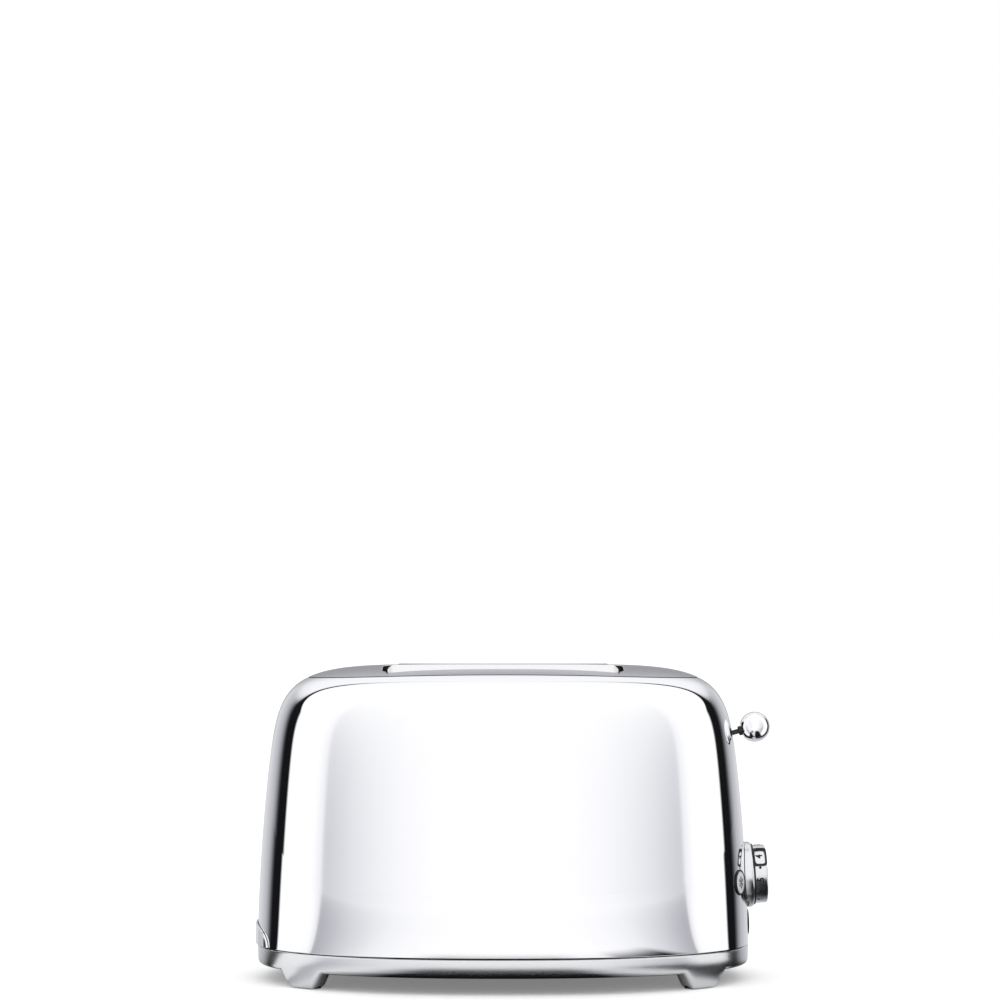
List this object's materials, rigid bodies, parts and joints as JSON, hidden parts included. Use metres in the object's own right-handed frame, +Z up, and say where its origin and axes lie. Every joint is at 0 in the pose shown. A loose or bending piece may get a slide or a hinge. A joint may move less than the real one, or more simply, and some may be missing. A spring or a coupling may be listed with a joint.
{
  "type": "two-slice toaster",
  "caption": "Rounded two-slice toaster in polished steel with a brushed slotted top, ball lever, browning dial, push buttons, crumb drawer and cast legs.",
  "frame": {"origin": "on the surface it stands on, under the middle of its box", "axes": "+Z up; +X towards the lever and dial end; -Y towards the front"},
  "size_m": [0.3259, 0.195, 0.1979],
  "materials": {
    "polished_shell": "mirror-polished stainless steel",
    "brushed_deck": "fine brushed satin stainless steel",
    "cast_base": "satin die-cast, fine bead-blasted",
    "chamber_steel": "zinc-plated pressed steel",
    "rack_wire": "bright drawn steel, plated",
    "spring_steel": "oiled spring wire",
    "mica": "pressed mica sheet with nichrome ribbon, translucent flakes",
    "magnet_winding": "enamelled copper winding on a steel core",
    "black_plastic": "moulded black nylon",
    "foot_rubber": "black moulded rubber",
    "circuit_board": "glass-fibre laminate with green solder mask"
  },
  "bodies": {
    "chassis": {"outer_shell": "polished_shell", "top_deck": "brushed_deck", "base_skirt": "cast_base", "foot_pad_front_left": "foot_rubber", "foot_pad_front_right": "foot_rubber", "foot_pad_rear_left": "foot_rubber", "foot_pad_rear_right": "foot_rubber", "bottom_plate": "chamber_steel", "base_screw_front_left": "chamber_steel", "base_screw_front_right": "chamber_steel", "base_screw_rear_left": "chamber_steel", "base_screw_rear_right": "chamber_steel", "cord_gland": "black_plastic", "terminal_block": "black_plastic", "chamber_end_left": "chamber_steel", "chamber_end_right": "chamber_steel", "chamber_side_front": "rack_wire", "chamber_side_rear": "rack_wire", "heater_front_outer": "mica", "heater_front_inner": "mica", "heater_rear_inner": "mica", "heater_rear_outer": "mica", "guide_rod_front": "rack_wire", "guide_rod_rear": "rack_wire", "return_spring": "spring_steel", "latch_magnet": "magnet_winding", "lever_slot_trim": "black_plastic", "dial_bezel": "polished_shell", "index_window": "black_plastic", "potentiometer": "chamber_steel", "control_board": "circuit_board", "button_ring_defrost": "black_plastic", "button_ring_bagel": "black_plastic", "button_ring_reheat": "black_plastic", "switch_defrost": "black_plastic", "switch_bagel": "black_plastic", "switch_reheat": "black_plastic"},
    "carriage": {"carriage_bracket": "chamber_steel", "bread_rack_front": "rack_wire", "bread_rack_rear": "rack_wire", "catch_plate": "chamber_steel", "lever_arm": "chamber_steel", "ball_collar": "black_plastic", "ball_knob": "polished_shell"},
    "guard_front_outer": {"bread_guard_front_outer": "rack_wire"},
    "guard_front_inner": {"bread_guard_front_inner": "rack_wire"},
    "guard_rear_inner": {"bread_guard_rear_inner": "rack_wire"},
    "guard_rear_outer": {"bread_guard_rear_outer": "rack_wire"},
    "crumb_drawer": {"crumb_tray": "rack_wire", "crumb_tray_handle": "polished_shell"},
    "dial": {"browning_dial": "brushed_deck", "dial_shaft": "chamber_steel"},
    "defrost_button": {"button_defrost": "brushed_deck"},
    "bagel_button": {"button_bagel": "brushed_deck"},
    "reheat_button": {"button_reheat": "brushed_deck"}
  },
  "joints": [
    {"name": "lever_slide", "type": "slide", "parent": "chassis", "child": "carriage", "axis": [0, 0, -1], "range_m": [-0.008, 0.05], "stiffness_N_per_m": 200, "springref_m": -0.00818, "deforming": ["return_spring"]},
    {"name": "guard_front_outer_hinge", "type": "hinge", "parent": "chassis", "child": "guard_front_outer", "pos_m": [-0.00565, -0.0425, 0.048], "axis": [-1, 0, 0], "range_deg": [-0.7, 4.1]},
    {"name": "guard_front_inner_hinge", "type": "hinge", "parent": "chassis", "child": "guard_front_inner", "pos_m": [-0.00565, -0.0155, 0.048], "axis": [1, 0, 0], "range_deg": [-0.7, 4.1]},
    {"name": "guard_rear_inner_hinge", "type": "hinge", "parent": "chassis", "child": "guard_rear_inner", "pos_m": [-0.00565, 0.0155, 0.048], "axis": [-1, 0, 0], "range_deg": [-0.7, 4.1]},
    {"name": "guard_rear_outer_hinge", "type": "hinge", "parent": "chassis", "child": "guard_rear_outer", "pos_m": [-0.00565, 0.0425, 0.048], "axis": [1, 0, 0], "range_deg": [-0.7, 4.1]},
    {"name": "crumb_drawer_slide", "type": "slide", "parent": "chassis", "child": "crumb_drawer", "axis": [-1, 0, 0], "range_m": [0, 0.24]},
    {"name": "dial_turn", "type": "hinge", "parent": "chassis", "child": "dial", "pos_m": [0.1508, 0, 0.06444], "axis": [-0.9986, 0, -0.0523], "range_deg": [-144, 96]},
    {"name": "defrost_press", "type": "slide", "parent": "chassis", "child": "defrost_button", "axis": [-0.9124, 0.4061, -0.0516], "range_m": [0, 0.0015], "stiffness_N_per_m": 400, "springref_m": -0.0015},
    {"name": "bagel_press", "type": "slide", "parent": "chassis", "child": "bagel_button", "axis": [-0.9998, 0, -0.0221], "range_m": [0, 0.0015], "stiffness_N_per_m": 400, "springref_m": -0.0015},
    {"name": "reheat_press", "type": "slide", "parent": "chassis", "child": "reheat_button", "axis": [-0.9124, -0.4061, -0.0516], "range_m": [0, 0.0015], "stiffness_N_per_m": 400, "springref_m": -0.0015}
  ],
  "couplings": [
    {"joint": "guard_front_outer_hinge", "follows": "lever_slide", "rad_per_m": 1.3963},
    {"joint": "guard_front_inner_hinge", "follows": "lever_slide", "rad_per_m": 1.3963},
    {"joint": "guard_rear_inner_hinge", "follows": "lever_slide", "rad_per_m": 1.3963},
    {"joint": "guard_rear_outer_hinge", "follows": "lever_slide", "rad_per_m": 1.3963}
  ]
}
